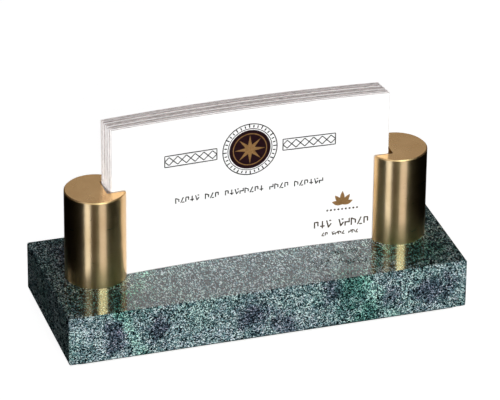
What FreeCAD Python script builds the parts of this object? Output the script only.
"""Desk business-card stand: a polished marble slab, two notched brass posts and a stack of cards.

Frame: millimetres, +X along the slab, -Y towards the reader, +Z up.
The origin is the middle of the underside, at the bottom of the felt.
"""

import FreeCAD, Part
import math
import os

Vector = FreeCAD.Vector

# ---- driving dimensions ----------------------------------------------------
SLAB_LENGTH = 128.0
SLAB_DEPTH = 50.2
SLAB_HEIGHT = 16.2
SLAB_ARRIS = 0.4              # bevel ground on every outer edge of the marble

FELT_THICKNESS = 1.0
FELT_INSET = 1.4              # felt stops short of the marble's edge
FELT_CORNER_RADIUS = 3.0

POST_DIAMETER = 19.2
POST_HEIGHT = 29.75
POST_SPACING = 97.2           # axis to axis
POST_EDGE_BREAK = 0.35        # chamfer round the top edge
NOTCH_WIDTH = 8.3             # front lip to back lip, full height of the post
NOTCH_END_OFFSET = 2.56       # notch end wall, from the post's axis towards the other post

CARD_WIDTH = 88.9             # 3.5 in
CARD_HEIGHT = 50.8            # 2 in
CARD_COUNT = 17
CARD_THICKNESS = 0.36
CARD_PITCH = 0.40             # card to card at the foot of the stack
CARD_FOOT_GAP = 0.02          # cards stand this far clear of the marble
FRONT_CARD_OFFSET = -3.70     # face of the front card at its two ends, from the posts' axes
BOW_FRONT = 1.85              # backward bow at the middle of the front card
BOW_GROWTH = 0.018            # each card behind bows this much more
FAN_STEP = 0.05               # mean extra lean of each card, degrees
FAN_UNEVENNESS = 0.8          # share by which that lean varies from card to card
SIDE_FRONT = 0.0              # front card sits this far right of centre
SIDE_BACK = -1.25             # back card sits this far left of centre
SIDE_SCATTER = 0.12
TRIM_SCATTER = 0.26           # cards are cut up to this much taller or shorter
SCATTER_TURN = 2.4            # radians between cards in the scatter, the golden angle

SCREW_DIAMETER = 5.0          # M5 slotted cheese head
SCREW_LENGTH = 20.0
SCREW_HEAD_DIAMETER = 8.5
SCREW_HEAD_HEIGHT = 3.3
SCREW_SLOT_WIDTH = 1.2
SCREW_SLOT_DEPTH = 1.3
SCREW_POINT = 0.6             # chamfer at the screw's tip
SCREW_OFFSET = 2.6            # outwards from the post's axis, in full metal behind the notch
TAPPED_RADIAL_GAP = 0.02
TAPPED_DEPTH = 13.0
DRILL_POINT_HEIGHT = 1.4
CLEARANCE_HOLE_DIAMETER = 5.6
COUNTERBORE_DIAMETER = 12.5
COUNTERBORE_DEPTH = 7.0
WASHER_OUTER_DIAMETER = 10.0
WASHER_INNER_DIAMETER = 5.3
WASHER_THICKNESS = 1.0

# ---- levels that follow ----------------------------------------------------
SLAB_BOTTOM = FELT_THICKNESS
SLAB_TOP = SLAB_BOTTOM + SLAB_HEIGHT
COUNTERBORE_ROOF = SLAB_BOTTOM + COUNTERBORE_DEPTH
POST_TOP = SLAB_TOP + POST_HEIGHT
LEFT, RIGHT = -1, 1


def post_axis_x(side):
    return side * POST_SPACING / 2


def screw_axis_x(side):
    return side * (POST_SPACING / 2 + SCREW_OFFSET)


def cylinder(diameter, height, x, z):
    return Part.makeCylinder(diameter / 2, height, Vector(x, 0, z))


def box(low, high):
    size = high - low
    return Part.makeBox(size.x, size.y, size.z, low)


def save(name, shape):
    shape.exportStep("parts/" + name + ".step")
    print(name, "valid", shape.isValid(), "volume", round(shape.Volume, 1))


# ---- marble slab: bevelled block with a counterbored hole under each post ----
def marble_base():
    half = Vector(SLAB_LENGTH / 2, SLAB_DEPTH / 2, 0)
    slab = box(Vector(-half.x, -half.y, SLAB_BOTTOM), Vector(half.x, half.y, SLAB_TOP))
    slab = slab.makeChamfer(SLAB_ARRIS, slab.Edges)
    for side in (LEFT, RIGHT):
        x = screw_axis_x(side)
        slab = slab.cut(cylinder(CLEARANCE_HOLE_DIAMETER, SLAB_HEIGHT, x, SLAB_BOTTOM))
        slab = slab.cut(cylinder(COUNTERBORE_DIAMETER, COUNTERBORE_DEPTH, x, SLAB_BOTTOM))
    return slab


# ---- felt: one sheet glued under the slab, closing both counterbores ---------
def base_felt():
    half_x = SLAB_LENGTH / 2 - FELT_INSET
    half_y = SLAB_DEPTH / 2 - FELT_INSET
    sheet = box(Vector(-half_x, -half_y, 0), Vector(half_x, half_y, FELT_THICKNESS))
    uprights = [e for e in sheet.Edges if abs(e.Vertexes[0].Z - e.Vertexes[1].Z) > 0.5 * FELT_THICKNESS]
    return sheet.makeFillet(FELT_CORNER_RADIUS, uprights)


# ---- brass post: turned bar, notched on its inner side, tapped from below ----
def post(side):
    x = post_axis_x(side)
    bar = cylinder(POST_DIAMETER, POST_HEIGHT, x, SLAB_TOP)
    top_rim = [e for e in bar.Edges if e.Closed and e.CenterOfMass.z > POST_TOP - 0.1]
    bar = bar.makeChamfer(POST_EDGE_BREAK, top_rim)

    end_wall = x - side * NOTCH_END_OFFSET
    past_the_bar = x - side * POST_DIAMETER
    notch = box(
        Vector(min(end_wall, past_the_bar), -NOTCH_WIDTH / 2, SLAB_TOP),
        Vector(max(end_wall, past_the_bar), NOTCH_WIDTH / 2, POST_TOP),
    )
    bar = bar.cut(notch)

    hole_radius = SCREW_DIAMETER / 2 + TAPPED_RADIAL_GAP
    hole = cylinder(2 * hole_radius, TAPPED_DEPTH, screw_axis_x(side), SLAB_TOP)
    point = Part.makeCone(
        hole_radius, 0, DRILL_POINT_HEIGHT, Vector(screw_axis_x(side), 0, SLAB_TOP + TAPPED_DEPTH)
    )
    return bar.cut(hole.fuse(point).removeSplitter())


# ---- fixings: a cheese-head screw and a washer up each counterbore -----------
def washer(side):
    x = screw_axis_x(side)
    bottom = COUNTERBORE_ROOF - WASHER_THICKNESS
    ring = cylinder(WASHER_OUTER_DIAMETER, WASHER_THICKNESS, x, bottom)
    return ring.cut(cylinder(WASHER_INNER_DIAMETER, WASHER_THICKNESS, x, bottom))


def screw(side):
    x = screw_axis_x(side)
    seat = COUNTERBORE_ROOF - WASHER_THICKNESS
    head_bottom = seat - SCREW_HEAD_HEIGHT
    head = cylinder(SCREW_HEAD_DIAMETER, SCREW_HEAD_HEIGHT, x, head_bottom)
    shank = cylinder(SCREW_DIAMETER, SCREW_LENGTH, x, seat)
    tip = [e for e in shank.Edges if e.Closed and e.CenterOfMass.z > seat + SCREW_LENGTH - 0.1]
    shank = shank.makeChamfer(SCREW_POINT, tip)
    slot = box(
        Vector(x - SCREW_HEAD_DIAMETER, -SCREW_SLOT_WIDTH / 2, head_bottom),
        Vector(x + SCREW_HEAD_DIAMETER, SCREW_SLOT_WIDTH / 2, head_bottom + SCREW_SLOT_DEPTH),
    )
    return head.fuse(shank).removeSplitter().cut(slot)


# ---- cards: bowed sheets, each leaning a little more than the one in front ----
def card_lean(index):
    """Degrees that a card leans back; the steps between cards are uneven and never negative."""
    lean = 0.0
    for step in range(1, index + 1):
        lean += FAN_STEP * (1 + FAN_UNEVENNESS * math.sin(SCATTER_TURN * step))
    return lean


def card_side_shift(index):
    share = index / (CARD_COUNT - 1)
    drift = SIDE_FRONT + share * (SIDE_BACK - SIDE_FRONT)
    return drift + SIDE_SCATTER * math.sin(SCATTER_TURN * (index + 0.5))


def card_height(index):
    return CARD_HEIGHT + TRIM_SCATTER * math.sin(SCATTER_TURN * index)


def card(index):
    left = card_side_shift(index) - CARD_WIDTH / 2
    right = left + CARD_WIDTH
    middle = (left + right) / 2
    foot = SLAB_TOP + CARD_FOOT_GAP
    bow = BOW_FRONT + BOW_GROWTH * index
    front = FRONT_CARD_OFFSET + CARD_PITCH * index
    back = front + CARD_THICKNESS
    front_arc = Part.Arc(
        Vector(left, front, foot), Vector(middle, front + bow, foot), Vector(right, front, foot)
    )
    back_arc = Part.Arc(
        Vector(right, back, foot), Vector(middle, back + bow, foot), Vector(left, back, foot)
    )
    outline = Part.Wire(
        [
            front_arc.toShape(),
            Part.makeLine(Vector(right, front, foot), Vector(right, back, foot)),
            back_arc.toShape(),
            Part.makeLine(Vector(left, back, foot), Vector(left, front, foot)),
        ]
    )
    rise = card_height(index)
    run = rise * math.tan(math.radians(card_lean(index)))
    return Part.Face(outline).extrude(Vector(0, run, rise))


def main():
    os.makedirs("parts", exist_ok=True)
    save("marble_base", marble_base())
    save("base_felt", base_felt())
    for side, word in ((LEFT, "left"), (RIGHT, "right")):
        save(word + "_post", post(side))
        save(word + "_washer", washer(side))
        save(word + "_screw", screw(side))
    for index in range(CARD_COUNT):
        save("card_%02d" % (index + 1), card(index))


main()
